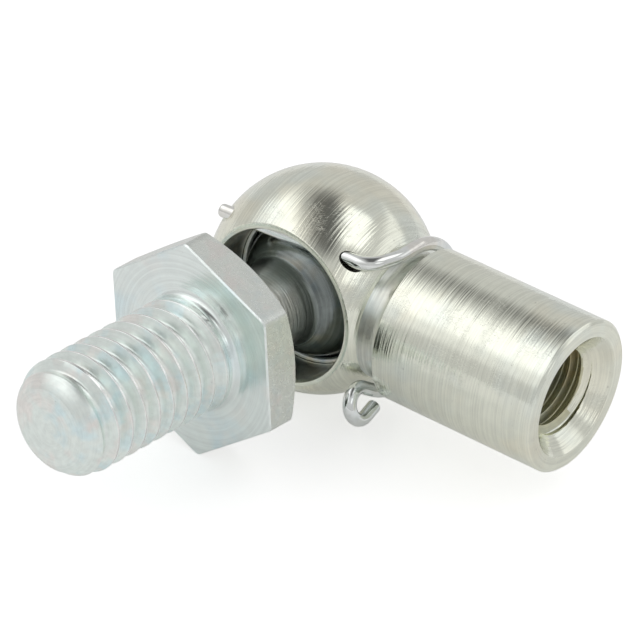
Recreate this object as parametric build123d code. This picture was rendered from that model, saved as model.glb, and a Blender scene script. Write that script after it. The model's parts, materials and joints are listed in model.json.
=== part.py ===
from build123d import *
from math import cos, radians, sin, sqrt, tan
import os

# Angle ball joint: a ball stud that swivels in a ball socket. A snap ring inside the mouth of the
# socket holds the ball, and a spring wire clip secures it: its straight leg runs through the head
# in front of the ball, its turn lies in the groove behind the head and its end is a curl.
#
# Everything is modelled about the centre of the ball, with +X along the shank of the socket, -Y out
# of its mouth and +Z up. It is moved at the end, so that the rod thread starts at the origin.
# Millimetres and degrees.

# --- ball and its fits --------------------------------------------------------------------------
BALL_D = 10.0               # ball of the stud
CUP_CLEARANCE = 0.05        # ball to the cup of the socket
MOUTH_CLEARANCE = 0.2       # ball to the straight bore it is pushed in through
RING_CLEARANCE = 0.05       # ball to the snap ring

# --- socket -------------------------------------------------------------------------------------
HEAD_WALL = 2.45            # round head, outside the cup
MOUTH_LAND = 0.64           # flat face milled round the mouth
MOUTH_CHAMFER = 0.12        # inner edge of that face
SOCKET_REACH = 20.1         # ball centre to the end face of the shank
SHANK_D = 10.4
SHANK_CHAMFER = 0.2         # outer edge of the end face
GROOVE_DEPTH = 0.8          # clip groove between head and shank, and the radius of its flank
GROOVE_FLOOR = 1.03         # straight floor of that groove, from the head to the flank

# --- rod thread in the shank, M6 ----------------------------------------------------------------
ROD_THREAD_MINOR_D = 5.2    # wall of the tapped hole
END_LAND = 0.9              # flat ring left on the end face by the countersink
COUNTERSINK_ANGLE = 90.0
DRILL_POINT_ANGLE = 118.0
DRILL_POINT_WALL = 2.0      # drill point to the cup

# --- snap ring ----------------------------------------------------------------------------------
RING_WIRE_D = 0.6
RING_INSET = 0.05           # centre line of the ring, inside the wall of the mouth bore
RING_GROOVE_PLAY = 0.06     # round the wire in its groove
RING_GAP = 18.0             # opening of the ring, about its axis
RING_GAP_TURN = 30.0        # where that opening ends, from +X over the top

# --- ball stud ----------------------------------------------------------------------------------
STEM_ROOT_D = 6.0           # where the stem leaves the ball
STEM_WAIST_D = 5.3
STEM_FOOT_D = 6.8           # where the stem meets the hexagon
HEX_FLATS = 13.0            # across flats
HEX_THICKNESS = 2.6
HEX_CHAMFER_ANGLE = 30.0    # turned chamfer on the side of the ball
HEX_EDGE = 0.1              # broken edge of the seating face
STUD_REACH = 12.65          # ball centre to the seating face of the hexagon
STUD_THREAD_D = 7.8         # M8, over the crests
STUD_THREAD_LENGTH = 13.0   # seating face to the flat point
UNDERCUT_D = 6.6            # relief between hexagon and thread
UNDERCUT_WIDTH = 1.1
UNDERCUT_FLANK_ANGLE = 45.0
UNDERCUT_FILLET = 0.6       # from the seating face into the undercut
POINT_FLAT_D = 5.2
POINT_RADIUS = 2.6          # rounding from the thread to the flat point

# --- how the stud stands ------------------------------------------------------------------------
STUD_LEAN = 4.155           # away from the axis of the mouth
STUD_LEAN_TURN = 16.65      # where it leans to, from -X downwards
HEX_TURN = 8.87             # first corner of the hexagon, about the stud, from the top

# --- safety clip --------------------------------------------------------------------------------
CLIP_WIRE_D = 0.8
CLIP_HOLE_PLAY = 0.18       # round the leg in the cross holes of the head
CLIP_END_ROUND = 0.15
LEG_CLEARANCE = 0.11        # leg to the ball, at mid length
LEG_ANGLE = 52.8            # leg above the axis of the mouth, at mid length
LEG_RISE = 5.69             # slant of the leg, upwards to the shank
LEG_OUTWARD = 2.62          # slant of the leg, outwards to the shank
LEG_TIP = 1.16              # leg beyond the head at its free tip
LEG_RUN = 0.71              # leg beyond the head at its bend
LEG_BEND_RADIUS = 1.6
TURN_PLAY = 0.37            # wire to the floor of the groove
TURN_SETBACK = 0.2          # centre line of the turn, back from where the flank starts
TURN_LEAD = 1.385           # straight wire before the turn
TURN_LEAD_RADIUS = 3.0
TURN_START = 90.0           # the turn runs over the top and behind the neck, counted about the
TURN_END = 300.0            # shank from the front
CURL_LEAD = 0.5             # straight wire after the turn
CURL_BEND_RADIUS = 1.0
CURL_SWAY = 24.0            # that bend, towards the head
CURL_RUN = 1.0              # straight wire before the curl
CURL_LEAN = 28.0            # lean of the curl towards the shank
CURL_RADIUS = 1.1           # centre line
CURL_TURN = 240.0
CURL_TAIL = 1.0             # straight wire at the end

# --- derived ------------------------------------------------------------------------------------
ball_r = BALL_D / 2
cup_r = ball_r + CUP_CLEARANCE
mouth_r = ball_r + MOUTH_CLEARANCE
head_r = cup_r + HEAD_WALL
mouth_face = sqrt(head_r**2 - (mouth_r + MOUTH_LAND) ** 2)
shank_r = SHANK_D / 2
neck_r = shank_r - GROOVE_DEPTH
neck_start = sqrt(head_r**2 - neck_r**2)
flank_start = neck_start + GROOVE_FLOOR
shank_start = flank_start + GROOVE_DEPTH

rod_thread_r = ROD_THREAD_MINOR_D / 2
countersink_r = shank_r - SHANK_CHAMFER - END_LAND
countersink_depth = (countersink_r - rod_thread_r) / tan(radians(COUNTERSINK_ANGLE / 2))
rod_thread_start = SOCKET_REACH - countersink_depth
drill_tip = cup_r + DRILL_POINT_WALL
rod_thread_end = drill_tip + rod_thread_r / tan(radians(DRILL_POINT_ANGLE / 2))

ring_wire_r = RING_WIRE_D / 2
ring_r = mouth_r - RING_INSET
ring_forward = sqrt((ball_r + RING_CLEARANCE + ring_wire_r) ** 2 - ring_r**2)
ring_groove_half = ring_wire_r + RING_GROOVE_PLAY

stem_root_r = STEM_ROOT_D / 2
stem_root = sqrt(ball_r**2 - stem_root_r**2)
hex_back = STUD_REACH - HEX_THICKNESS
stud_thread_r = STUD_THREAD_D / 2
undercut_r = UNDERCUT_D / 2
undercut_end = STUD_REACH + UNDERCUT_WIDTH
stud_end = STUD_REACH + STUD_THREAD_LENGTH
point_flat_r = POINT_FLAT_D / 2
point_drop = stud_thread_r - point_flat_r

clip_wire_r = CLIP_WIRE_D / 2
leg_r = ball_r + LEG_CLEARANCE + clip_wire_r
leg_middle = Vector(0, -cos(radians(LEG_ANGLE)), sin(radians(LEG_ANGLE))) * leg_r
leg_slope = Vector(1, -tan(radians(LEG_OUTWARD)), tan(radians(LEG_RISE)))
leg_in_head = sqrt(head_r**2 - leg_r**2)
turn_r = neck_r + clip_wire_r + TURN_PLAY
turn_x = flank_start - TURN_SETBACK

mouth_axis = Vector(0, -1, 0)
lean_side = Vector(-cos(radians(STUD_LEAN_TURN)), 0, -sin(radians(STUD_LEAN_TURN)))
stud_axis = mouth_axis * cos(radians(STUD_LEAN)) + lean_side * sin(radians(STUD_LEAN))
stud_top = Vector(0, 0, 1) - stud_axis * stud_axis.Z

mouth_plane = Plane(origin=(0, 0, 0), x_dir=(1, 0, 0), z_dir=mouth_axis)
stud_plane = Plane(origin=(0, 0, 0), x_dir=stud_top, z_dir=stud_axis)
turn_plane = Plane(origin=(turn_x, 0, 0), x_dir=mouth_axis, z_dir=(-1, 0, 0))


def turned(outline):
    """Solid turned about Z from an outline in radius and height that is closed along the axis."""
    return revolve(Plane.XZ * make_face(outline), axis=Axis.Z)


def turned_on_shank(outline):
    """Solid turned about the shank's axis from an outline in length and radius."""
    return revolve(make_face(outline), axis=Axis.X)


def leg_point(x):
    """Point on the centre line of the clip's leg and of the holes that it runs through."""
    return leg_middle + leg_slope * x


def turn_point(angle):
    """Point on the centre line of the clip's turn round the neck."""
    return turn_plane.from_local_coords(
        (turn_r * cos(radians(angle)), turn_r * sin(radians(angle)), 0)
    )


def socket_blank():
    """Round head, clip groove with a rounded flank, and shank with a broken end edge."""
    flank_bulge = GROOVE_DEPTH * sin(radians(45))
    outline = [
        ThreePointArc((-head_r, 0), (0, head_r), (neck_start, neck_r)),
        Line((neck_start, neck_r), (flank_start, neck_r)),
        ThreePointArc(
            (flank_start, neck_r),
            (flank_start + flank_bulge, shank_r - flank_bulge),
            (shank_start, shank_r),
        ),
        Line((shank_start, shank_r), (SOCKET_REACH - SHANK_CHAMFER, shank_r)),
        Line((SOCKET_REACH - SHANK_CHAMFER, shank_r), (SOCKET_REACH, shank_r - SHANK_CHAMFER)),
        Line((SOCKET_REACH, shank_r - SHANK_CHAMFER), (SOCKET_REACH, 0)),
        Line((SOCKET_REACH, 0), (-head_r, 0)),
    ]
    return turned_on_shank(outline)


def cup_form():
    """What is bored out of the head: cup, straight bore, ring groove and the edge of the mouth."""
    groove_r = ring_r + ring_groove_half
    groove_in = ring_forward - ring_groove_half
    groove_out = ring_forward + ring_groove_half
    outline = [
        ThreePointArc(
            (0, -cup_r),
            (cup_r * sin(radians(45)), -cup_r * cos(radians(45))),
            (cup_r, 0),
        ),
        Polyline(
            (cup_r, 0),
            (mouth_r, 0),
            (mouth_r, groove_in),
            (groove_r, groove_in),
            (groove_r, groove_out),
            (mouth_r, groove_out),
            (mouth_r, mouth_face - MOUTH_CHAMFER),
            (mouth_r + MOUTH_CHAMFER, mouth_face),
            (mouth_r + MOUTH_CHAMFER, head_r),
            (0, head_r),
            (0, -cup_r),
        ),
    ]
    return mouth_plane * turned(outline)


def rod_hole():
    """Tapped blind hole in the end of the shank, with its drill point and countersink."""
    outline = Polyline(
        (drill_tip, 0),
        (rod_thread_end, rod_thread_r),
        (rod_thread_start, rod_thread_r),
        (SOCKET_REACH, countersink_r),
        (SOCKET_REACH, 0),
        (drill_tip, 0),
    )
    return turned_on_shank(outline)


def ball_socket():
    """Turned socket: blank, milled mouth face, cup, rod hole and the cross holes of the clip."""
    beyond_face = mouth_plane.offset(mouth_face) * Cylinder(
        head_r, head_r, align=(Align.CENTER, Align.CENTER, Align.MIN)
    )
    hole_start = leg_point(-head_r)
    hole_line = leg_point(leg_in_head + LEG_RUN) - hole_start
    cross_hole = Plane(origin=hole_start, z_dir=hole_line) * Cylinder(
        clip_wire_r + CLIP_HOLE_PLAY,
        hole_line.length,
        align=(Align.CENTER, Align.CENTER, Align.MIN),
    )
    return socket_blank() - beyond_face - cup_form() - rod_hole() - cross_hole


def retaining_ring():
    """Open ring of spring wire in its groove, against the ball in front of its widest circle."""
    ring = revolve(
        Plane.XZ * Pos(ring_r, ring_forward) * Circle(ring_wire_r),
        axis=Axis.Z,
        revolution_arc=360 - RING_GAP,
    )
    return mouth_plane * Rot(0, 0, RING_GAP_TURN) * ring


def ball_stud():
    """Turned stud with a hexagon: ball, waisted stem, undercut, thread and rounded point."""
    waist = (STEM_WAIST_D / 2, (stem_root + hex_back) / 2)
    stem_foot_r = STEM_FOOT_D / 2
    fillet_start = (undercut_r + UNDERCUT_FILLET, STUD_REACH)
    fillet_end = (undercut_r, STUD_REACH + UNDERCUT_FILLET)
    undercut_flank = (stud_thread_r - undercut_r) / tan(radians(UNDERCUT_FLANK_ANGLE))
    point_start = stud_end - sqrt(POINT_RADIUS**2 - (POINT_RADIUS - point_drop) ** 2)
    outline = [
        ThreePointArc((0, -ball_r), (ball_r, 0), (stem_root_r, stem_root)),
        ThreePointArc((stem_root_r, stem_root), waist, (stem_foot_r, hex_back)),
        Polyline((stem_foot_r, hex_back), fillet_start),
        RadiusArc(fillet_start, fillet_end, UNDERCUT_FILLET),
        Polyline(
            fillet_end,
            (undercut_r, undercut_end),
            (stud_thread_r, undercut_end + undercut_flank),
            (stud_thread_r, point_start),
        ),
        RadiusArc((stud_thread_r, point_start), (point_flat_r, stud_end), -POINT_RADIUS),
        Polyline((point_flat_r, stud_end), (0, stud_end), (0, -ball_r)),
    ]
    return stud_plane * (turned(outline) + hexagon())


def hexagon():
    """Hexagon of the stud, turned off at an angle on the side of the ball."""
    prism = Pos(0, 0, hex_back) * extrude(
        RegularPolygon(HEX_FLATS / 2, 6, major_radius=False, rotation=HEX_TURN), HEX_THICKNESS
    )
    prism = chamfer(prism.faces().sort_by(Axis.Z)[-1].edges(), HEX_EDGE)
    corner_reach = HEX_FLATS
    turned_off = Polyline(
        (0, hex_back),
        (HEX_FLATS / 2, hex_back),
        (corner_reach, hex_back + (corner_reach - HEX_FLATS / 2) * tan(radians(HEX_CHAMFER_ANGLE))),
        (corner_reach, STUD_REACH + HEX_THICKNESS),
        (0, STUD_REACH + HEX_THICKNESS),
        (0, hex_back),
    )
    return prism & turned(turned_off)


def clip_path():
    """Centre line of the clip: leg, bend, turn round the neck, bend, curl and tail."""
    turn_in = Vector(0, sin(radians(TURN_START)), cos(radians(TURN_START)))
    turn_out = Vector(0, sin(radians(TURN_END)), cos(radians(TURN_END)))
    away_from_neck = Vector(0, -cos(radians(TURN_END)), sin(radians(TURN_END)))
    along_shank = Vector(1, 0)
    leg = FilletPolyline(
        leg_point(-leg_in_head - LEG_TIP),
        leg_point(leg_in_head + LEG_RUN),
        turn_point(TURN_START) - turn_in * TURN_LEAD,
        turn_point(TURN_START),
        radius=[LEG_BEND_RADIUS, TURN_LEAD_RADIUS],
    )
    turn = turn_plane * CenterArc((0, 0), turn_r, TURN_START, TURN_END - TURN_START)
    sway = radians(CURL_SWAY)
    lean = radians(CURL_LEAN)
    run = turn_out * cos(sway) - along_shank * sin(sway)
    side = along_shank * cos(sway) + turn_out * sin(sway)
    inward = away_from_neck * cos(lean) + side * sin(lean)
    bend_point = turn_point(TURN_END) + turn_out * CURL_LEAD
    curl_start = bend_point + run * CURL_RUN
    lead = FilletPolyline(
        turn_point(TURN_END), bend_point, curl_start, radius=[CURL_BEND_RADIUS]
    )
    curl_plane = Plane(
        origin=curl_start + inward * CURL_RADIUS, x_dir=-inward, z_dir=(-inward).cross(run)
    )
    curl = curl_plane * CenterArc((0, 0), CURL_RADIUS, 0, CURL_TURN)
    tail = Line(curl @ 1, (curl @ 1) + (curl % 1) * CURL_TAIL)
    return Wire(leg.edges() + turn.edges() + lead.edges() + curl.edges() + tail.edges())


def safety_clip():
    """Spring wire swept along its centre line, with rounded ends."""
    path = clip_path()
    wire = sweep(Plane(origin=path @ 0, z_dir=path % 0) * Circle(clip_wire_r), path=path)
    ends = wire.faces().filter_by(GeomType.PLANE)
    return fillet(ends.edges(), CLIP_END_ROUND)


os.makedirs("parts", exist_ok=True)
to_origin = Pos(-rod_thread_start, 0)
export_step(to_origin * ball_socket(), "parts/ball_socket.step")
export_step(to_origin * ball_stud(), "parts/ball_stud.step")
export_step(to_origin * retaining_ring(), "parts/retaining_ring.step")
export_step(to_origin * safety_clip(), "parts/safety_clip.step")
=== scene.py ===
"""Angle ball joint: zinc-plated socket, threaded ball stud, spring wire clip and snap ring.

Every piece is built in millimetres in its own turning frame, with Z along the axis that it was
turned about, and is then set into the part's frame in metres.
"""
import json
import logging
from collections.abc import Callable
from dataclasses import dataclass, field
from enum import Enum, IntEnum
from functools import reduce
from math import asin, atan2, ceil, cos, pi, radians, sin, sqrt, tan

import bmesh
import bpy
from bmesh.types import BMEdge, BMesh, BMFace, BMVert
from bpy.types import Material, Node, NodeSocket, NodeTree, Object
from mathutils import Matrix, Vector


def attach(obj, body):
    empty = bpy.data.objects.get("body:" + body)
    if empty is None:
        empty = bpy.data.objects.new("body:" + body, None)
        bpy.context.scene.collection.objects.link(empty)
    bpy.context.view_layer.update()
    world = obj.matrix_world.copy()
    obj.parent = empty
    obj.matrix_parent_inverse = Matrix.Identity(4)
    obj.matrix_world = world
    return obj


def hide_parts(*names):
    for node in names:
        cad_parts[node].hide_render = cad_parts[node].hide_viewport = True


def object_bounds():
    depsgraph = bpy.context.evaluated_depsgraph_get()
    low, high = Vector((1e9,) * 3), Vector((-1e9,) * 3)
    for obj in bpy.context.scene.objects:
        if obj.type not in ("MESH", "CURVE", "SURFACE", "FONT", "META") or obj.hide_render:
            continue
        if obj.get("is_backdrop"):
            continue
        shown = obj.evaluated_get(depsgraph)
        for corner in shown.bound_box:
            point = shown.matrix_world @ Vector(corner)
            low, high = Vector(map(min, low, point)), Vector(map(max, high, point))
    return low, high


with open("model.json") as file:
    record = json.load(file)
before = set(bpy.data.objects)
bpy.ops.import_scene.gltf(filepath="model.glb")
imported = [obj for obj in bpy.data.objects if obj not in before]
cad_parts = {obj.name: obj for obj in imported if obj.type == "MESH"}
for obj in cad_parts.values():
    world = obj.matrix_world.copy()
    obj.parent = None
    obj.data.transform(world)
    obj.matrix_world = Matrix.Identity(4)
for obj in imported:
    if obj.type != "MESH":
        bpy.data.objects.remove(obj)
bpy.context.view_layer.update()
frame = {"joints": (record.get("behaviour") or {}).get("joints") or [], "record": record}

MM = 0.001
MERGE = 1e-5
LOG = logging.getLogger("angle_ball_joint")

Point = tuple[float, float]
Span = tuple[float, float, float, float]
Colour = tuple[float, float, float]
Value = float | NodeSocket


class Slot(Enum):
    """Material slots of the record."""

    SOCKET = "socket_zinc"
    STUD = "stud_zinc"
    CLIP = "clip_wire"
    RING = "ring_wire"


class Body(Enum):
    """Bodies of the frame that pieces ride on."""

    SOCKET = "socket"
    RING = "ring"
    STUD = "stud"


class SocketFinish(IntEnum):
    """Order of the socket's finishes on its mesh."""

    OUTSIDE = 0
    CUP = 1
    BORE = 2
    NECK = 3


class StudFinish(IntEnum):
    """Order of the stud's finishes on its mesh."""

    FACE = 0
    FLATS = 1
    THREAD = 2
    CREST = 3
    STEM = 4
    BALL = 5


@dataclass(frozen=True)
class Corner:
    """A corner of a turned outline, in millimetres.

    Args:
        r: Radius of the corner.
        h: Height along the axis.
        rounding: Radius that the corner is rounded to, or 0 for a corner that stays sharp.
    """

    r: float
    h: float
    rounding: float = 0.0


class Outline:
    """Outline of a turned surface, as points of radius and height in millimetres."""

    # Short straights on both sides of a rounding keep its shading off its neighbours.
    HOLD = 0.05
    ARC_STEP = radians(22)

    def __init__(self) -> None:
        """Starts an empty outline."""
        self.points: list[Point] = []

    def add(self, *points: Point) -> None:
        """Adds points, but none that repeats the last one.

        Args:
            points: Points of radius and height.
        """
        for r, h in points:
            if self.points:
                last = self.points[-1]
                if abs(last[0] - r) < MERGE and abs(last[1] - h) < MERGE:
                    continue
            self.points.append((max(r, 0.0), h))

    def line(self, start: Point, end: Point, steps: int) -> None:
        """Adds evenly spaced points from start to end.

        Args:
            start: First point.
            end: Last point.
            steps: Number of runs between them.
        """
        for i in range(steps + 1):
            t = i / steps
            self.add((start[0] + (end[0] - start[0]) * t, start[1] + (end[1] - start[1]) * t))

    def arc(self, middle: Point, radius: float, start: float, swing: float, steps: int) -> None:
        """Adds an arc about a middle point.

        Args:
            middle: Centre of the arc.
            radius: Its radius.
            start: First angle in radians, from the radius direction towards height.
            swing: How far it runs on from there.
            steps: Number of runs along it.
        """
        for i in range(steps + 1):
            a = start + swing * i / steps
            self.add((middle[0] + radius * cos(a), middle[1] + radius * sin(a)))

    def corners(self, *corners: Corner) -> None:
        """Adds straight runs between corners, each corner rounded to its own radius.

        Args:
            corners: The corners in order; the first and last are kept as they are.
        """
        for i, corner in enumerate(corners):
            if i in (0, len(corners) - 1) or corner.rounding <= 0:
                self.add((corner.r, corner.h))
                continue
            here = Vector((corner.r, corner.h))
            before = Vector((corners[i - 1].r, corners[i - 1].h)) - here
            after = Vector((corners[i + 1].r, corners[i + 1].h)) - here
            opening = before.angle(after)
            before.normalize()
            after.normalize()
            reach = corner.rounding / tan(opening / 2)
            middle = here + (before + after).normalized() * (corner.rounding / sin(opening / 2))
            first = here + before * reach - middle
            last = here + after * reach - middle
            swing = atan2(first.x * last.y - first.y * last.x, first.dot(last))
            steps = max(2, ceil((pi - opening) / self.ARC_STEP))
            self.add((here + before * (reach + self.HOLD))[:])
            self.arc(middle, corner.rounding, atan2(first.y, first.x), swing, steps)
            self.add((here + after * (reach + self.HOLD))[:])


@dataclass(frozen=True)
class TurningFrame:
    """Where a piece was turned: Z is its turning axis.

    Args:
        origin: Origin in the part's frame, in millimetres.
        side: Direction that the columns of a turned mesh are counted from.
        axis: Turning axis.
    """

    origin: Vector
    side: Vector
    axis: Vector

    def matrix(self) -> Matrix:
        """Returns: the placing matrix, in millimetres."""
        z = self.axis.normalized()
        x = (self.side - z * self.side.dot(z)).normalized()
        m = Matrix((x, z.cross(x), z)).transposed().to_4x4()
        m.translation = self.origin
        return m


class TurnedMesh:
    """A mesh spun from outlines, in millimetres, with Z as the turning axis."""

    def __init__(self, columns: int) -> None:
        """Starts an empty mesh with a number of columns round the axis."""
        self.bm = bmesh.new()
        self.columns = columns

    def spin(self, outline: Outline, rise: float = 0.0, finish: int = 0) -> list[BMVert]:
        """Spins an outline once round the axis.

        Args:
            outline: The outline to spin.
            rise: How far it climbs in one turn; 0 closes it on itself.
            finish: Material index of the new faces.

        Returns:
            The vertices of the new surface.
        """
        bm = self.bm
        verts_before, faces_before = set(bm.verts), set(bm.faces)
        verts = [bm.verts.new((r, 0.0, h)) for r, h in outline.points]
        edges = [bm.edges.new(pair) for pair in zip(verts, verts[1:])]
        bmesh.ops.spin(
            bm, geom=verts + edges, cent=(0, 0, 0), axis=(0, 0, 1),
            dvec=(0, 0, rise / self.columns), angle=2 * pi, steps=self.columns,
            use_merge=rise == 0.0,
        )
        for face in bm.faces:
            if face not in faces_before:
                face.material_index = finish
        return [v for v in bm.verts if v not in verts_before]

    def close(self) -> None:
        """Merges seams and poles, and turns all faces outwards."""
        bmesh.ops.remove_doubles(self.bm, verts=self.bm.verts, dist=MERGE * 20)
        bmesh.ops.dissolve_degenerate(self.bm, edges=self.bm.edges, dist=MERGE)
        bmesh.ops.recalc_face_normals(self.bm, faces=self.bm.faces)

    def place(self, place: TurningFrame) -> None:
        """Sets the mesh into the part's frame, still in millimetres."""
        bmesh.ops.transform(self.bm, matrix=place.matrix(), verts=self.bm.verts)


def link_mesh(bm: BMesh, name: str) -> Object:
    """Links a mesh as an object at the origin.

    Args:
        bm: The mesh, which is freed.
        name: Name of the object.

    Returns:
        The linked object.
    """
    mesh = bpy.data.meshes.new(name)
    bm.to_mesh(mesh)
    bm.free()
    piece = bpy.data.objects.new(name, mesh)
    bpy.context.scene.collection.objects.link(piece)
    return piece


def put_in_scene(
    bm: BMesh, name: str, placing: Matrix, sharp: float = radians(36)
) -> Object:
    """Makes an object of a mesh in millimetres and sets it into the part's frame.

    Args:
        bm: The finished mesh, which is freed.
        name: Name of the object.
        placing: Its place, in millimetres.
        sharp: Edges that turn more than this keep a hard line.

    Returns:
        The linked object at the origin.
    """
    bmesh.ops.transform(bm, matrix=Matrix.Scale(MM, 4) @ placing, verts=bm.verts)
    piece = link_mesh(bm, name)
    piece.data.shade_smooth()
    piece.data.set_sharp_from_angle(angle=sharp)
    return piece


@dataclass
class Thread:
    """A rolled or cut thread profile, in millimetres.

    Args:
        pitch: Rise of one turn.
        depth: Crest to root.
        start: Height of a crest over the first column.
        crest: Width of the crest.
        crest_round: Rounding of the crest's edges.
        root_round: Rounding of the root's edges.
        seam: Depth of the fine seam along a rolled crest.
        run_out: How many pitches it takes to reach its depth.
    """

    FLANK = radians(30)

    pitch: float
    depth: float
    start: float
    crest: float = 0.14
    crest_round: float = 0.03
    root_round: float = 0.2
    seam: float = 0.0
    run_out: float = 0.9

    def rows(self) -> list[Point]:
        """Returns: height above the crest and depth below it, over one pitch."""
        half = self.crest / 2
        side = Outline()
        side.corners(
            Corner(self.depth, 0.0),
            Corner(self.depth, half, self.crest_round),
            Corner(0.0, half + self.depth * tan(self.FLANK), self.root_round),
            Corner(0.0, self.pitch / 2),
        )
        rising = [(h, self.depth - r) for r, h in side.points]
        falling = [(self.pitch - h, deep) for h, deep in reversed(rising)]
        rising[0] = (0.0, self.seam)
        return rising + falling[1:-1]

    def wind(
        self, turned: TurnedMesh, crest_r: float, inwards: int, low: float, high: float,
        settle: Callable[[float, float], float], finish: int = 0,
    ) -> None:
        """Winds the thread from a lower to an upper height.

        Args:
            turned: The mesh that it is added to.
            crest_r: Radius of the crest.
            inwards: -1 for a thread cut into a rod, 1 for one cut into a bore.
            low: The lower height, where it runs out.
            high: The upper height.
            settle: Gives the surface's radius, from a height and the depth of the cut there.
            finish: Material index of its faces.
        """
        line = Outline()
        turns = ceil((high - low) / self.pitch) + 3
        base = self.start - ceil((self.start - low) / self.pitch + 2) * self.pitch
        rows = self.rows()
        for k in range(turns + 1):
            for rise, deep in rows:
                line.points.append((crest_r + inwards * deep, base + k * self.pitch + rise))
        for v in turned.spin(line, self.pitch, finish):
            h = min(max(v.co.z, low), high)
            angle = atan2(v.co.y, v.co.x)
            fade = min(1.0, (h - low) / (self.run_out * self.pitch))
            r = settle(h, inwards * (v.co.xy.length - crest_r) * fade)
            v.co = (r * cos(angle), r * sin(angle), h)


@dataclass
class BallStud:
    """Ball, waisted stem, hexagon and threaded end, turned in one piece. Sizes in millimetres."""

    # Steps of the mesh, and small leads, gaps and insets that hold the shading of its edges.
    COLUMNS = 240
    SHARP = radians(24)
    BALL_STEPS = 44
    STEM_STEPS = 26
    ROOT_GAP = 0.02
    ROOT_LIFT = 0.1
    BACK_STEPS = 5
    BACK_INSET = 0.06
    CHAMFER_ROWS = 6
    RIM_ROWS = (0.0, 0.02, 0.98, 1.0)
    FACE_ROWS = 2
    ROW_STEP = 0.01
    FACE_STEPS = 14
    FACE_INSET = 0.6
    EDGE_INSET = 0.05
    FILLET_LEAD = 0.1
    BREAK_REACH = radians(0.8)
    CREST_DEPTH = 0.035
    EDGE_LOW = 0.001
    UPRIGHT = 0.3
    CLEAR_OF_COLLAR = 0.7
    POINT_INSETS = (0, 0.08, 0.7)

    ball_r: float = 5.0
    root_r: float = 3.0
    waist_r: float = 2.65
    foot_r: float = 3.4
    flats: float = 13.0
    hex_thickness: float = 2.6
    hex_chamfer: float = radians(30)
    hex_edge: float = 0.1
    corner_break: float = 0.055
    reach: float = 12.65
    thread_r: float = 3.9
    thread_length: float = 13.0
    collar_r: float = 3.82
    collar_width: float = 0.55
    collar_fillet: float = 0.5
    point_flat_r: float = 2.6
    point_radius: float = 2.6
    first_corner: float = radians(8.87)
    thread: Thread = field(default_factory=lambda: Thread(1.25, 0.66, 18.75, seam=0.03))

    def __post_init__(self) -> None:
        """Works out the heights along the axis that several outlines share."""
        self.root_h = sqrt(self.ball_r**2 - self.root_r**2)
        self.back = self.reach - self.hex_thickness
        self.collar_end = self.reach + self.collar_width
        self.tip = self.reach + self.thread_length

    def turning_frame(self) -> TurningFrame:
        """Returns: the stud's own frame, from the part's joint and mount."""
        mounts = {m["name"]: m for m in frame["record"]["mounts"]}
        joint = next(j for j in frame["joints"] if j["name"] == "stud_tilt")
        axis = Vector(mounts["stud_thread"]["axis"])
        side = Vector((0, 0, 1)) - axis * axis.z
        return TurningFrame(Vector(joint["pos_m"]) / MM, side, axis)

    def build(self) -> Object:
        """Returns: the stud as one closed piece."""
        turned = TurnedMesh(self.COLUMNS)
        turned.spin(self.head())
        self.add_hexagon(turned)
        self.add_thread(turned)
        turned.close()
        for face in turned.bm.faces:
            face.material_index = self.finish_at(face)
        return put_in_scene(
            turned.bm, "ball_stud_looks", self.turning_frame().matrix(), self.SHARP
        )

    def head(self) -> Outline:
        """Returns: the outline from the ball's pole to the foot of the stem."""
        line = Outline()
        ball_end = asin(self.root_h / self.ball_r) - self.ROOT_GAP
        line.arc((0, 0), self.ball_r, -pi / 2, ball_end + pi / 2, self.BALL_STEPS)
        middle, radius = self.waist_circle((self.root_r, self.root_h), (self.foot_r, self.back))
        up = self.root_h + self.ROOT_LIFT - middle[1]
        start = atan2(up, -sqrt(radius**2 - up**2)) % (2 * pi)
        end = atan2(self.back - middle[1], self.foot_r - middle[0]) % (2 * pi)
        line.arc(middle, radius, start, end - start, self.STEM_STEPS)
        return line

    def waist_circle(self, root: Point, foot: Point) -> tuple[Point, float]:
        """Circle through the stem's root, waist and foot.

        Args:
            root: Radius and height where the stem leaves the ball.
            foot: Radius and height where it meets the hexagon.

        Returns:
            Its middle and its radius.
        """
        (x1, y1), (x2, y2) = root, (self.waist_r, (root[1] + foot[1]) / 2)
        x3, y3 = foot
        d = 2 * (x1 * (y2 - y3) + x2 * (y3 - y1) + x3 * (y1 - y2))
        s1, s2, s3 = x1**2 + y1**2, x2**2 + y2**2, x3**2 + y3**2
        mx = (s1 * (y2 - y3) + s2 * (y3 - y1) + s3 * (y1 - y2)) / d
        my = (s1 * (x3 - x2) + s2 * (x1 - x3) + s3 * (x2 - x1)) / d
        return (mx, my), sqrt((x1 - mx) ** 2 + (y1 - my) ** 2)

    def add_hexagon(self, turned: TurnedMesh) -> None:
        """Spins a disc and pushes its rim out to the hexagon, column by column.

        Args:
            turned: The stud's mesh.
        """
        inner = self.flats / 2
        fillet_end = self.collar_r + self.collar_fillet + self.FILLET_LEAD
        line = Outline()
        foot, edge = (self.foot_r, self.back), (inner - self.BACK_INSET, self.back)
        line.line(foot, edge, self.BACK_STEPS)
        rim_rows = self.CHAMFER_ROWS + 1 + len(self.RIM_ROWS) + self.FACE_ROWS
        for row in range(rim_rows):
            line.points.append((inner, self.back + self.ROW_STEP * (row + 1)))
        edge = (inner - self.FACE_INSET, self.reach)
        line.line(edge, (fillet_end, self.reach), self.FACE_STEPS)
        line.corners(
            Corner(fillet_end, self.reach),
            Corner(self.collar_r, self.reach, self.collar_fillet),
            Corner(self.collar_r, self.collar_end),
        )
        for v in turned.spin(line):
            row = round((v.co.z - self.back) / self.ROW_STEP) - 1
            if 0 <= row < rim_rows:
                angle = atan2(v.co.y, v.co.x)
                r, h = self.rim_point(row, self.hex_r(angle))
                v.co = (r * cos(angle), r * sin(angle), h)

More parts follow.
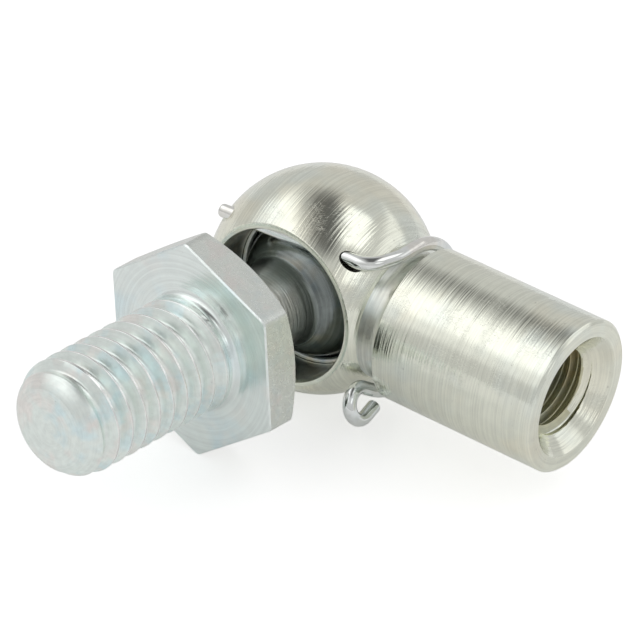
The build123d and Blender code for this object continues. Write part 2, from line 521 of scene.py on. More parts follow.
    def rim_point(self, row: int, rim: float) -> Point:
        """Point of the hexagon's rim: up its chamfer, along its flat, on to its face.

        Args:
            row: Number of the row, from the side of the ball.
            rim: Distance from the axis to the rim here.

        Returns:
            Its radius and height.
        """
        inner = self.flats / 2
        slope = tan(self.hex_chamfer)
        if row <= self.CHAMFER_ROWS:
            r = inner + (rim - inner) * row / self.CHAMFER_ROWS
            return r, self.back + (r - inner) * slope
        row -= self.CHAMFER_ROWS + 1
        if row < len(self.RIM_ROWS):
            slope_top = self.back + (rim - inner) * slope
            return rim, slope_top + (self.reach - self.hex_edge - slope_top) * self.RIM_ROWS[row]
        row -= len(self.RIM_ROWS)
        return rim - self.hex_edge - self.EDGE_INSET * row, self.reach

    def hex_r(self, angle: float) -> float:
        """Finds the hexagon's rim.

        Args:
            angle: Angle about the stud.

        Returns:
            Its distance from the axis.
        """
        side = radians(60)
        local = (angle - self.first_corner) % side
        rim = self.flats / 2 / cos(local - side / 2)
        from_corner = min(local, side - local)
        return rim - self.corner_break if from_corner < self.BREAK_REACH else rim

    def add_thread(self, turned: TurnedMesh) -> None:
        """Winds the thread between the collar and the point, and closes the end.

        Args:
            turned: The stud's mesh.
        """
        self.thread.wind(
            turned, self.thread_r, -1, self.collar_end, self.tip, self.rolled_r
        )
        end = Outline()
        end.add(*((self.point_flat_r - inset, self.tip) for inset in self.POINT_INSETS))
        end.add((0.0, self.tip))
        turned.spin(end)

    def rolled_r(self, h: float, cut: float) -> float:
        """Radius of the threaded end.

        Args:
            h: Height along the axis.
            cut: Depth of the thread's cut there.

        Returns:
            The radius, which follows the crest from a little above the collar on.
        """
        blank = self.envelope(h)
        if h > self.collar_end + self.CLEAR_OF_COLLAR:
            return min(blank, self.thread_r - cut)
        return blank - cut

    def envelope(self, h: float) -> float:
        """Outline of the blank that the thread is rolled on.

        Args:
            h: Height along the axis.

        Returns:
            Its radius.
        """
        drop = self.thread_r - self.point_flat_r
        run = sqrt(self.point_radius**2 - (self.point_radius - drop) ** 2)
        if h < self.collar_end + (self.thread_r - self.collar_r):
            return min(self.thread_r, self.collar_r + max(0.0, h - self.collar_end))
        if h <= self.tip - run:
            return self.thread_r
        into = min(h - (self.tip - run), self.point_radius)
        return self.thread_r - self.point_radius + sqrt(self.point_radius**2 - into**2)

    def finish_at(self, face: BMFace) -> StudFinish:
        """Finish of a face by where it lies.

        Args:
            face: A face of the finished mesh.

        Returns:
            Its finish.
        """
        middle = face.calc_center_median()
        r, h = middle.xy.length, middle.z
        if h < self.root_h:
            return StudFinish.BALL
        if h < self.back:
            return StudFinish.STEM
        if h < self.reach - self.EDGE_LOW and abs(face.normal.z) < self.UPRIGHT:
            return StudFinish.FLATS
        if h <= self.collar_end:
            return StudFinish.FACE
        return StudFinish.CREST if r > self.thread_r - self.CREST_DEPTH else StudFinish.THREAD


@dataclass
class BallSocket:
    """Round head with its cup, and shank with the rod thread. Sizes in millimetres."""

    # Steps of the mesh, and small leads, gaps and rows that hold the shading of its edges.
    HEAD_COLUMNS = 192
    SHANK_COLUMNS = 160
    SHARP = radians(30)
    HEAD_STEPS = 64
    RIM_GAP = 0.04
    FACE_LEAD = 0.1
    FACE_END = 0.04
    BEVEL_BELLY = (0.4, 0.08)
    BORE_ROWS = (0.6, 0.3, 0.5)
    CUP_STEPS = 30
    CUP_GAP = 0.02
    NECK_STEPS = (3, 6, 8)
    SHANK_STEPS = 40
    END_STEPS = 3
    EDGE_ROUND = 0.06
    SINK_ROUND = 0.05
    SINK_LEAD = 0.2
    CHAMFER_LEAD = 0.3
    CONE_OUT = 0.95
    CONE_IN = 0.62
    BORE_FINISH_FROM = 0.1
    DRILL_STEPS = 8
    HOLE_SIDES = 64
    HOLE_SPARE = 2.0

    head_r: float = 7.5
    cup_r: float = 5.05
    mouth_r: float = 5.2
    mouth_face: float = 4.84
    mouth_chamfer: float = 0.3
    rim_round: float = 0.1
    neck_r: float = 4.4
    neck_root: float = 5.6
    flank: float = 7.1038
    groove_depth: float = 0.8
    shank_r: float = 5.2
    shank_chamfer: float = 0.2
    reach: float = 20.1
    countersink_r: float = 4.1
    bore_r: float = 2.6
    bore_start: float = 18.6
    bore_end: float = 8.6122
    drill_tip: float = 7.05
    ring_r: float = 5.15
    ring_forward: float = 1.4488
    ring_half: float = 0.36
    hole_r: float = 0.59
    hole_drop: Vector = field(default_factory=lambda: Vector((0.0, -0.04, -0.09)))
    thread: Thread = field(
        default_factory=lambda: Thread(1.0, 0.5, 17.9, root_round=0.1, run_out=1.5)
    )

    def centre(self) -> Vector:
        """Returns: the ball's centre in the part's frame, in millimetres."""
        joint = next(j for j in frame["joints"] if j["name"] == "ring_spin")
        return Vector(joint["pos_m"]) / MM

    def mouth_frame(self) -> TurningFrame:
        """Returns: the frame that the head is turned in, about the axis of its mouth."""
        return TurningFrame(self.centre(), Vector((1, 0, 0)), Vector((0, -1, 0)))

    def shank_frame(self) -> TurningFrame:
        """Returns: the frame that the shank is turned in, about the rod thread."""
        return TurningFrame(self.centre(), Vector((0, 0, 1)), Vector((1, 0, 0)))

    def head(self) -> TurnedMesh:
        """Returns: the head turned about the axis of its mouth, with cup and ring groove."""
        turned = TurnedMesh(self.HEAD_COLUMNS)
        face = self.mouth_face
        rim = asin(face / self.head_r)
        before_rim = rim - self.RIM_GAP
        bevel_r = self.mouth_r + self.mouth_chamfer
        outer = Outline()
        outer.arc((0, 0), self.head_r, -pi / 2, before_rim + pi / 2, self.HEAD_STEPS)
        outer.corners(
            Corner(self.head_r * cos(before_rim), self.head_r * sin(before_rim)),
            Corner(self.head_r * cos(rim), face, self.rim_round),
            Corner(bevel_r + self.FACE_LEAD, face),
            Corner(bevel_r + self.FACE_END, face),
        )
        turned.spin(outer)
        groove_r = self.ring_r + self.ring_half
        groove_low = self.ring_forward - self.ring_half
        groove_high = self.ring_forward + self.ring_half
        share, drop = self.BEVEL_BELLY
        below_bevel, above_groove, above_cup = self.BORE_ROWS
        inner = Outline()
        inner.add(
            (bevel_r + self.FACE_END, face),
            (bevel_r, face),
            (self.mouth_r + self.mouth_chamfer * share, face - drop),
            (self.mouth_r, face - self.mouth_chamfer),
            (self.mouth_r, face - below_bevel),
            (self.mouth_r, groove_high + above_groove),
            (self.mouth_r, groove_high),
            (groove_r, groove_high),
            (groove_r, groove_low),
            (self.mouth_r, groove_low),
            (self.mouth_r, above_cup),
            (self.mouth_r, 0.0),
            (self.cup_r, 0.0),
        )
        inner.arc((0, 0), self.cup_r, -self.CUP_GAP, self.CUP_GAP - pi / 2, self.CUP_STEPS)
        turned.spin(inner, finish=SocketFinish.CUP)
        turned.close()
        turned.place(self.mouth_frame())
        return turned

    def shank(self) -> TurnedMesh:
        """Returns: neck, groove and shank turned about the rod thread, with the thread in it."""
        turned = TurnedMesh(self.SHANK_COLUMNS)
        across, along, round_flank = self.NECK_STEPS
        neck = Outline()
        neck.line((0.0, self.neck_root), (self.neck_r, self.neck_root), across)
        neck.line((self.neck_r, self.neck_root), (self.neck_r, self.flank), along)
        neck.arc((self.shank_r, self.flank), self.groove_depth, pi, -pi / 2, round_flank)
        turned.spin(neck, finish=SocketFinish.NECK)
        start, end = self.flank + self.groove_depth, self.reach - self.shank_chamfer
        outer = Outline()
        before_end = (self.shank_r, end - self.FACE_LEAD)
        face_from = (self.shank_r - self.shank_chamfer - self.CHAMFER_LEAD, self.reach)
        face_to = (self.countersink_r + self.SINK_LEAD, self.reach)
        outer.line((self.shank_r, start), before_end, self.SHANK_STEPS)
        outer.corners(
            Corner(*before_end),
            Corner(self.shank_r, end, self.EDGE_ROUND),
            Corner(self.shank_r - self.shank_chamfer, self.reach, self.EDGE_ROUND),
            Corner(*face_from),
        )
        outer.line(face_from, face_to, self.END_STEPS)
        cone_out = (self.bore_r + self.CONE_OUT, self.bore_start + self.CONE_OUT)
        cone_in = (self.bore_r + self.CONE_IN, self.bore_start + self.CONE_IN)
        outer.corners(
            Corner(*face_to),
            Corner(self.countersink_r, self.reach, self.SINK_ROUND),
            Corner(*cone_out),
        )
        outer.line(cone_out, cone_in, self.END_STEPS)
        turned.spin(outer)
        self.add_thread(turned)
        bottom = Outline()
        bottom.line((self.bore_r, self.bore_end), (0.0, self.drill_tip), self.DRILL_STEPS)
        turned.spin(bottom)
        turned.close()
        turned.place(self.shank_frame())
        return turned

    def add_thread(self, turned: TurnedMesh) -> None:
        """Winds the tapped thread from the countersink to the end of the drilled hole.

        Args:
            turned: The shank's mesh.
        """
        self.thread.wind(
            turned, self.bore_r, 1, self.bore_end, self.bore_start + self.CONE_IN,
            self.tapped_r, SocketFinish.BORE,
        )
        cone_from = self.bore_start + self.BORE_FINISH_FROM
        for face in turned.bm.faces:
            if face.material_index == SocketFinish.BORE:
                if face.calc_center_median().z > cone_from:
                    face.material_index = SocketFinish.OUTSIDE

    def tapped_r(self, h: float, cut: float) -> float:
        """Radius of the bore at a height, from the depth of the thread's cut there."""
        return self.bore_r + max(0.0, h - self.bore_start, cut)

    def clip_holes(self, start: Vector, end: Vector) -> BMesh:
        """Makes the body of the cross holes that the clip's leg runs through.

        Args:
            start: One end of the holes' centre line, in millimetres.
            end: Its other end.

        Returns:
            A closed rod of the holes' size.
        """
        bm = bmesh.new()
        bmesh.ops.create_cone(
            bm, cap_ends=True, segments=self.HOLE_SIDES, radius1=self.hole_r,
            radius2=self.hole_r, depth=(end - start).length,
        )
        place = TurningFrame((start + end) / 2 + self.hole_drop, Vector((0, 0, 1)), end - start)
        bmesh.ops.transform(bm, matrix=place.matrix(), verts=bm.verts)
        for face in bm.faces:
            face.material_index = SocketFinish.CUP
        return bm

    def build(self, hole_start: Vector, hole_end: Vector) -> Object:
        """Joins head and shank and drills the cross holes.

        Args:
            hole_start: One end of the cross holes, in millimetres.
            hole_end: Their other end.

        Returns:
            The socket as one closed piece.
        """
        head = link_mesh(self.head().bm, "ball_socket_looks")
        shank = link_mesh(self.shank().bm, "shank_tool")
        holes = link_mesh(self.clip_holes(hole_start, hole_end), "hole_tool")
        # The Boolean keeps only the material indices that every blank has a slot for.
        for blank in (head, shank, holes):
            for _ in SocketFinish:
                blank.data.materials.append(None)
        for extra, operation in ((shank, "UNION"), (holes, "DIFFERENCE")):
            step = head.modifiers.new("join", "BOOLEAN")
            step.object = extra
            step.operation = operation
            step.solver = "EXACT"
            step.material_mode = "INDEX"
            graph = bpy.context.evaluated_depsgraph_get()
            joined = bpy.data.meshes.new_from_object(head.evaluated_get(graph))
            head.modifiers.clear()
            old = head.data
            head.data = joined
            joined.name = "ball_socket_looks"
            bpy.data.meshes.remove(old)
            bpy.data.objects.remove(extra)
        head.data.transform(Matrix.Scale(MM, 4))
        head.data.shade_smooth()
        head.data.set_sharp_from_angle(angle=self.SHARP)
        return head


class WirePath:
    """Centre line of a bent wire, as points in millimetres."""

    RUN_STEP = 0.3
    TURN_STEP = radians(5)

    def __init__(self, start: Vector) -> None:
        """Starts the line at a point."""
        self.points: list[Vector] = [start.copy()]

    def straight(self, end: Vector) -> None:
        """Runs straight to a point.

        Args:
            end: The point.
        """
        start = self.points[-1]
        run = end - start
        if run.length < MERGE:
            return
        steps = max(1, ceil(run.length / self.RUN_STEP))
        self.points += [start + run * i / steps for i in range(1, steps + 1)]

    def circle(
        self, middle: Vector, first: Vector, second: Vector, start: float, end: float
    ) -> None:
        """Runs along part of a circle.

        Args:
            middle: Centre of the circle.
            first: Vector from the centre to angle 0.
            second: Vector from the centre to a quarter turn.
            start: First angle in radians.
            end: Last angle.
        """
        steps = max(2, ceil(abs(end - start) / self.TURN_STEP))
        for i in range(1, steps + 1):
            a = start + (end - start) * i / steps
            self.points.append(middle + first * cos(a) + second * sin(a))

    def bend(self, corner: Vector, after: Vector, radius: float) -> None:
        """Runs towards a corner and bends round it towards a further point.

        Args:
            corner: Where the two straight runs would meet.
            after: A point on the run after the bend.
            radius: Radius of the bend.
        """
        back = (self.points[-1] - corner).normalized()
        ahead = (after - corner).normalized()
        opening = back.angle(ahead)
        middle = corner + (back + ahead).normalized() * (radius / sin(opening / 2))
        start = corner + back * (radius / tan(opening / 2))
        self.straight(start)
        self.circle(middle, start - middle, -back * radius, 0.0, pi - opening)


@dataclass
class BentWire:
    """Round wire along a centre line, in millimetres.

    Args:
        name: Name of the piece.
        wire_r: Radius of the wire.
        end_round: Rounding of its cut ends.
        sides: Faces round the wire.
    """

    END_ANGLES = tuple(radians(a) for a in (90, 67, 45, 22, 0))

    name: str
    wire_r: float
    end_round: float
    sides: int = 40

    def end_sections(self, placing: Matrix, way: int) -> list[Matrix]:
        """Places of the cross sections of a rounded end.

        Args:
            placing: Place of the end, with Z along the wire.
            way: 1 where the wire lies on the positive side of the end, otherwise -1.

        Returns:
            One matrix a section, from the end inwards.
        """
        sections = []
        for a in self.END_ANGLES:
            inward = self.end_round * (1 - sin(a))
            scale = self.wire_r - self.end_round * (1 - cos(a))
            move = Matrix.Translation((0, 0, way * inward))
            sections.append(placing @ move @ Matrix.Scale(scale, 4))
        return sections

    def sections(self, points: list[Vector]) -> list[Matrix]:
        """Places of the wire's cross sections, without twist between them.

        Args:
            points: The centre line.

        Returns:
            One matrix a section, ends included.
        """
        last = len(points) - 1
        side, placings = None, []
        for i, point in enumerate(points):
            along = (points[min(i + 1, last)] - points[max(i - 1, 0)]).normalized()
            side = along.orthogonal().normalized() if side is None else side
            side = (side - along * side.dot(along)).normalized()
            turn = Matrix((side, along.cross(side), along)).transposed().to_4x4()
            placings.append(Matrix.Translation(point) @ turn)
        return [
            *self.end_sections(placings[0], 1),
            *(placing @ Matrix.Scale(self.wire_r, 4) for placing in placings[1:-1]),
            *reversed(self.end_sections(placings[-1], -1)),
        ]

    def build(self, points: list[Vector], centre: Vector) -> Object:
        """Extrudes the wire's circle along the centre line.

        Args:
            points: The centre line, about the ball's centre.
            centre: The ball's centre in the part's frame, in millimetres.

        Returns:
            The wire as one closed piece.
        """
        bm = bmesh.new()
        sections = self.sections(points)
        ring = bmesh.ops.create_circle(bm, cap_ends=True, segments=self.sides, radius=1.0)["verts"]
        bmesh.ops.transform(bm, matrix=sections[0], verts=ring)
        edges = list({e for v in ring for e in v.link_edges})
        for last, here in zip(sections, sections[1:]):
            grown = bmesh.ops.extrude_edge_only(bm, edges=edges)["geom"]
            ring = [g for g in grown if isinstance(g, BMVert)]
            new = set(ring)
            edges = [
                g for g in grown if isinstance(g, BMEdge) and set(g.verts) <= new
            ]
            bmesh.ops.transform(bm, matrix=here @ last.inverted(), verts=ring)
        bmesh.ops.holes_fill(bm, edges=edges, sides=0)
        bmesh.ops.recalc_face_normals(bm, faces=bm.faces)
        return put_in_scene(bm, self.name, Matrix.Translation(centre))


@dataclass
class SafetyClip:
    """Spring wire clip: leg through the head, turn round the neck, curl. Sizes in millimetres."""

    wire: BentWire = field(default_factory=lambda: BentWire("safety_clip_looks", 0.46, 0.15))
    leg_r: float = 5.51
    leg_angle: float = radians(52.8)
    leg_rise: float = radians(5.69)
    leg_outward: float = radians(2.62)
    head_r: float = 7.5
    leg_tip: float = 1.16
    leg_run: float = 0.71
    leg_bend: float = 1.6
    turn_r: float = 5.08
    turn_x: float = 6.65
    turn_lead: float = 1.385
    turn_bend: float = 3.0
    turn_start: float = radians(90)
    turn_end: float = radians(300)
    curl_lead: float = 0.5
    curl_bend: float = 1.0
    curl_sway: float = radians(10.6)
    curl_run: float = 0.9
    curl_lean: float = radians(16)
    curl_r: float = 1.045
    curl_turn: float = radians(229)
    curl_tail: float = 1.12

    def leg_point(self, x: float) -> Vector:
        """Point on the leg's centre line, at a distance along the shank from the ball."""
        middle = Vector((0, -cos(self.leg_angle), sin(self.leg_angle))) * self.leg_r
        return middle + Vector((1, -tan(self.leg_outward), tan(self.leg_rise))) * x

    def turn_point(self, angle: float) -> Vector:
        """Point on the centre line of the turn round the neck."""
        return Vector((self.turn_x, -self.turn_r * cos(angle), self.turn_r * sin(angle)))

    def leg_half(self) -> float:
        """Returns: half the length of the leg that lies in the head."""
        return sqrt(self.head_r**2 - self.leg_r**2)

    def path(self) -> WirePath:
        """Returns: the clip's centre line about the ball's centre."""
        turn_in = Vector((0, sin(self.turn_start), cos(self.turn_start)))
        turn_out = Vector((0, sin(self.turn_end), cos(self.turn_end)))
        away = Vector((0, -cos(self.turn_end), sin(self.turn_end)))
        shank = Vector((1, 0, 0))
        path = WirePath(self.leg_point(-self.leg_half() - self.leg_tip))
        corner = self.leg_point(self.leg_half() + self.leg_run)
        turn_first = self.turn_point(self.turn_start)
        lead = turn_first - turn_in * self.turn_lead
        path.bend(corner, lead, self.leg_bend)
        path.bend(lead, turn_first, self.turn_bend)
        path.straight(turn_first)
        path.circle(
            Vector((self.turn_x, 0, 0)), Vector((0, -self.turn_r, 0)), Vector((0, 0, self.turn_r)),
            self.turn_start, self.turn_end,
        )
        run = turn_out * cos(self.curl_sway) - shank * sin(self.curl_sway)
        side = shank * cos(self.curl_sway) + turn_out * sin(self.curl_sway)
        inward = away * cos(self.curl_lean) + side * sin(self.curl_lean)
        bend_point = self.turn_point(self.turn_end) + turn_out * self.curl_lead
        curl_start = bend_point + run * self.curl_run
        path.bend(bend_point, curl_start, self.curl_bend)
        path.straight(curl_start)
        path.circle(
            curl_start + inward * self.curl_r, -inward * self.curl_r, run * self.curl_r,
            0.0, self.curl_turn,
        )
        tail = inward * sin(self.curl_turn) + run * cos(self.curl_turn)
        path.straight(path.points[-1] + tail * self.curl_tail)
        return path


@dataclass
class RetainingRing:
    """Open snap ring in the cup. Sizes in millimetres."""

    wire: BentWire = field(default_factory=lambda: BentWire("retaining_ring_looks", 0.3, 0.05, 24))
    ring_r: float = 5.15
    forward: float = 1.4488
    gap: float = radians(18)
    gap_turn: float = radians(30)

    def path(self) -> WirePath:
        """Returns: the ring's centre line about the ball's centre."""
        middle = Vector((0, -self.forward, 0))
        first, second = Vector((self.ring_r, 0, 0)), Vector((0, 0, self.ring_r))
        start = self.gap_turn
        path = WirePath(middle + first * cos(start) + second * sin(start))
        path.circle(middle, first, second, start, start + 2 * pi - self.gap)
        return path


class Graph:
    """Short hand for building a node tree."""

    def __init__(self, tree: NodeTree) -> None:
        """Wraps a node tree and empties it."""
        self.tree = tree
        tree.nodes.clear()

    def node(self, kind: str, inputs: dict | None = None, **settings) -> Node:
        """Adds a node.

        Args:
            kind: Its type.
            inputs: Values or sockets for its inputs, by name or number.
            settings: Its own settings.

        Returns:
            The new node.
        """
        node = self.tree.nodes.new(kind)
        for key, value in settings.items():
            setattr(node, key, value)
        for key, value in (inputs or {}).items():
            self.feed(node.inputs[key], value)
        return node

    def feed(self, socket: NodeSocket, value) -> None:
        """Links a socket into an input, or sets the input's value.

        Args:
            socket: The input.
            value: The socket, or a value of the input's kind.
        """
        if isinstance(value, NodeSocket):
            self.tree.links.new(value, socket)
        else:
            socket.default_value = value

    def math(self, operation: str, a: Value, b: Value = 0.0, clamp: bool = False) -> Value:
        """Returns: the result of a maths node."""
        node = self.node("ShaderNodeMath", {0: a, 1: b}, operation=operation, use_clamp=clamp)
        return node.outputs[0]

    def times(self, a: Value, b: Value) -> Value:
        """Returns: a product."""
        return self.math("MULTIPLY", a, b)

    def plus(self, *terms: Value) -> Value:
        """Returns: a sum, added up from the first term on."""
        return reduce(lambda total, term: self.math("ADD", total, term), terms)

    def dot(self, vector: Value, direction: tuple) -> Value:
        """Returns: the part of a vector along a direction."""
        inputs = {0: vector, 1: direction}
        return self.node("ShaderNodeVectorMath", inputs, operation="DOT_PRODUCT").outputs["Value"]

    def ramp(self, value: Value, start: float, end: float) -> Value:
        """Returns: a smooth step from 0 at start to 1 at end."""
        inputs = {"Value": value, "From Min": start, "From Max": end}
        return self.node("ShaderNodeMapRange", inputs, interpolation_type="SMOOTHSTEP").outputs[0]

    def mix(self, share: Value, a, b) -> Value:
        """Returns: a colour mixed from a to b."""
        return self.node("ShaderNodeMix", {0: share, 6: a, 7: b}, data_type="RGBA").outputs[2]

    def blend(self, share: Value, a: Value, b: Value) -> Value:
        """Returns: a number mixed from a to b."""
        return self.node("ShaderNodeMix", {0: share, 2: a, 3: b}, data_type="FLOAT").outputs[0]

    def noise(self, vector: Value, scale: Value, detail: float, w: Value = 0.0) -> Value:
        """Adds a noise texture, in four dimensions where w is given.

        Args:
            vector: Where it is read.
            scale: Its scale.
            detail: Its detail.
            w: Its fourth coordinate.

        Returns:
            Its value.
        """
        inputs = {"Vector": vector, "Scale": scale, "Detail": detail, **({"W": w} if w else {})}
        size = "4D" if w else "3D"
        return self.node("ShaderNodeTexNoise", inputs, noise_dimensions=size).outputs[0]


def new_material(name: str) -> tuple[Material, Graph]:
    """Starts a material.

    Args:
        name: Its name.

    Returns:
        The material and its empty graph.
    """
    material = bpy.data.materials.new(name)
    material.use_nodes = True
    return material, Graph(material.node_tree)


VECTOR, FLOAT, COLOUR = "NodeSocketVector", "NodeSocketFloat", "NodeSocketColor"


def new_group(name: str, inputs: dict[str, str], outputs: dict[str, str]) -> tuple:
    """Starts a shader node group.

    Args:
        name: Its name.
        inputs: Socket types by name.
        outputs: Socket types by name.

    Returns:
        Its graph, the sockets that it is given and the sockets of its result.
    """
    tree = bpy.data.node_groups.new(name, "ShaderNodeTree")
    for way, sockets in (("INPUT", inputs), ("OUTPUT", outputs)):
        for socket, kind in sockets.items():
            tree.interface.new_socket(socket, in_out=way, socket_type=kind)
    graph = Graph(tree)
    return graph, graph.node("NodeGroupInput").outputs, graph.node("NodeGroupOutput").inputs


class SharedEffects:
    """Node groups that several finishes share. Their coordinates are in millimetres."""

    AXIS_GUARD = 0.01
    MARK_SIZES = (("Fine", 1.0), ("Broad", 5.0))
    TINTS = (("Cool", 1.7, 0.48, 0.66), ("Warm", 6.3, 0.50, 0.68))
    CLOUD_FINENESS = 5.0
    SCRATCHES = (((0.4, 0.9, 0.2), (14.0, 0.32, 2.0)), ((1.3, -0.5, 1.1), (14.0, 0.45, 2.0)))
    SCRATCH_WIDTH = 0.012
    SCRATCH_PLACES = (0.52, 0.62)
    PIT_SCALE = 4.5
    PIT_PLACES = (0.68, 0.78)

    def __init__(self) -> None:
        """Builds the groups."""
        self.turned = self.turned_marks()
        self.plating = self.plating_colour()
        self.wear = self.handling_wear()

    def turned_marks(self) -> NodeTree:
        """Returns: rings left by a turning tool, from coordinates with Z as the axis."""
        graph, given, result = new_group(
            "turned marks",
            {"Vector": VECTOR, "Pitch": FLOAT, "Around": FLOAT},
            {"Fine": FLOAT, "Broad": FLOAT},
        )
        x, y, h = graph.node("ShaderNodeSeparateXYZ", {0: given["Vector"]}).outputs
        r = graph.math("SQRT", graph.plus(graph.times(x, x), graph.times(y, y)))
        safe = graph.math("MAXIMUM", r, self.AXIS_GUARD)
        c, s = (graph.times(graph.math("DIVIDE", way, safe), given["Around"]) for way in (x, y))
        for name, coarser in self.MARK_SIZES:
            pitch = graph.times(given["Pitch"], coarser)
            rows = [graph.math("DIVIDE", place, pitch) for place in (h, r)]
            point = graph.node("ShaderNodeCombineXYZ", {0: rows[0], 1: rows[1], 2: c})
            graph.feed(result[name], graph.noise(point.outputs[0], 1.0, 2.0, s))
        return graph.tree

    def plating_colour(self) -> NodeTree:
        """Returns: the drifting tint of a thin zinc plating, and its cloudiness."""
        graph, given, result = new_group(
            "plating colour",
            {"Vector": VECTOR, "Plain": COLOUR, "Cool": COLOUR, "Warm": COLOUR, "Patch": FLOAT},
            {"Color": COLOUR, "Cloud": FLOAT},
        )
        vector = given["Vector"]
        scale = graph.math("DIVIDE", 1.0, given["Patch"])
        colour = given["Plain"]
        for name, seed, start, end in self.TINTS:
            share = graph.ramp(graph.noise(vector, scale, 3.0, seed), start, end)
            colour = graph.mix(share, colour, given[name])
        graph.feed(result["Color"], colour)
        fine = graph.times(scale, self.CLOUD_FINENESS)
        graph.feed(result["Cloud"], graph.noise(vector, fine, 4.0, 3.1))
        return graph.tree

    def handling_wear(self) -> NodeTree:
        """Returns: short scratches and small pits from handling in bulk."""
        graph, given, result = new_group(
            "handling wear",
            {"Vector": VECTOR, "Amount": FLOAT},
            {"Scratch": FLOAT, "Pit": FLOAT},
        )
        vector = given["Vector"]
        scratches: Value = 0.0
        for turn, stretch in self.SCRATCHES:
            turned = graph.node(
                "ShaderNodeMapping", {"Vector": vector, "Rotation": turn, "Scale": stretch}
            )
            line = graph.math("SUBTRACT", graph.noise(turned.outputs[0], 1.0, 1.0), 0.5)
            thin = graph.ramp(graph.math("ABSOLUTE", line), self.SCRATCH_WIDTH, 0.0)
            place = graph.ramp(graph.noise(vector, 0.5, 2.0, turn[0]), *self.SCRATCH_PLACES)
            scratches = graph.math("MAXIMUM", scratches, graph.times(thin, place))
        pits = graph.ramp(graph.noise(vector, self.PIT_SCALE, 2.0, 8.8), *self.PIT_PLACES)
        for name, value in (("Scratch", scratches), ("Pit", pits)):
            graph.feed(result[name], graph.times(value, given["Amount"]))
        return graph.tree


@dataclass(frozen=True)
class Plating:
    """A thin plating, or a bare metal's own tint.

    Args:
        plain: Base colour.
        cool: Colour of its cool patches.
        warm: Colour of its warm patches.
        patch: Size of the patches in millimetres.
        mottle: How far its cloudiness darkens the colour.
        grain: Depth of its grain in millimetres.
    """

    plain: Colour
    cool: Colour
    warm: Colour
    patch: float
    mottle: float
    grain: float


@dataclass(frozen=True)
class Marks:
    """Turning marks.

    Args:
        pitch: Distance from one to the next in millimetres.
        around: How often they break on the way round.
        depth: Depth of the fine ones in millimetres.
        broad: Depth of the broad ones in millimetres.
        streak: How far the fine ones darken the colour.
    """

    pitch: float
    around: float
    depth: float
    broad: float
    streak: float


@dataclass(frozen=True)
class ShadeFade:
    """Painted shade: a darker colour that a surface fades to along its turning axis, between two
    heights in mm.
    """

    colour: Colour
    start: float
    end: float


@dataclass(frozen=True)
class MetalFinish:
    """A plated or drawn metal surface.

    Args:
        name: Name of the material.
        roughness: Plain roughness.
        drift: How much roughness drifts with the plating's cloudiness.
        wear: Amount of scratches and pits, from 0 to 1.
        plating: Its colour and grain.
        marks: Its turning marks.
        fade: Painted shade that its colour darkens to along its axis, if any.
    """

    CONTRAST = (0.36, 0.64)
    GRAIN_SCALE = 9.0
    PIT_ROUGHNESS = 0.15
    PIT_DEPTH = 1.5
    PIT_SHADE = 0.4
    PIT_COLOUR = (0.2, 0.2, 0.19, 1.0)
    DENT_DEPTH = 0.004

    name: str
    roughness: float
    drift: float
    wear: float
    plating: Plating
    marks: Marks
    fade: ShadeFade | None = None

    def build(self, effects: SharedEffects, placing: Matrix) -> Material:
        """Builds the material.

        Args:
            effects: The shared node groups.
            placing: The frame that the surface was turned in, in millimetres.

        Returns:
            The material.
        """
        material, graph = new_material(self.name)
        inputs = {
            "Vector": graph.node("ShaderNodeTexCoord").outputs["Object"],
            "Location": placing.translation * MM,
            "Rotation": placing.to_euler(),
            "Scale": (MM, MM, MM),
        }
        local = graph.node("ShaderNodeMapping", inputs, vector_type="TEXTURE").outputs[0]
        marks, plating, wear = (
            graph.node("ShaderNodeGroup", {"Vector": local, **values}, node_tree=tree).outputs
            for tree, values in (
                (effects.turned, {"Pitch": self.marks.pitch, "Around": self.marks.around}),
                (effects.plating, {
                    "Plain": (*self.plating.plain, 1.0), "Cool": (*self.plating.cool, 1.0),
                    "Warm": (*self.plating.warm, 1.0), "Patch": self.plating.patch,
                }),
                (effects.wear, {"Amount": self.wear}),
            )
        )
        cloud = graph.math("SUBTRACT", plating["Cloud"], 0.5)
        roughness = graph.plus(graph.times(cloud, self.drift), self.roughness)
        pitted = graph.times(wear["Pit"], self.PIT_ROUGHNESS)
        roughness = graph.math("ADD", roughness, pitted, clamp=True)
        height = graph.plus(
            graph.times(marks["Fine"], self.marks.depth),
            graph.times(marks["Broad"], self.marks.broad),
            graph.times(graph.noise(local, self.GRAIN_SCALE, 3.0), self.plating.grain),
        )
        dents = graph.plus(wear["Scratch"], graph.times(wear["Pit"], self.PIT_DEPTH))
        height = graph.math("SUBTRACT", height, graph.times(dents, self.DENT_DEPTH))
        bump = graph.node("ShaderNodeBump", {"Height": height, "Strength": 1.0, "Distance": MM})
        shade: Value = 1.0
        for value, amount in (
            (marks["Fine"], self.marks.streak), (plating["Cloud"], self.plating.mottle)
        ):
            darker = graph.times(graph.ramp(value, *self.CONTRAST), amount)
            shade = graph.math("SUBTRACT", shade, darker)
        pit_shade = graph.times(wear["Pit"], self.PIT_SHADE)
        colour = graph.mix(pit_shade, plating["Color"], self.PIT_COLOUR)
        colour = graph.node(
            "ShaderNodeVectorMath", {0: colour, "Scale": shade}, operation="SCALE"
        ).outputs[0]
        # Painted shade: the colour darkens along the turning axis towards the fade's end.
        if self.fade:
            along = graph.node("ShaderNodeSeparateXYZ", {0: local}).outputs["Z"]
            share = graph.ramp(along, self.fade.start, self.fade.end)
            colour = graph.mix(share, colour, (*self.fade.colour, 1.0))
        shader = graph.node("ShaderNodeBsdfPrincipled", {
            "Base Color": colour, "Metallic": 1.0, "Roughness": roughness,
            "Normal": bump.outputs[0],
        })
        graph.node("ShaderNodeOutputMaterial", {0: shader.outputs[0]})
        return material


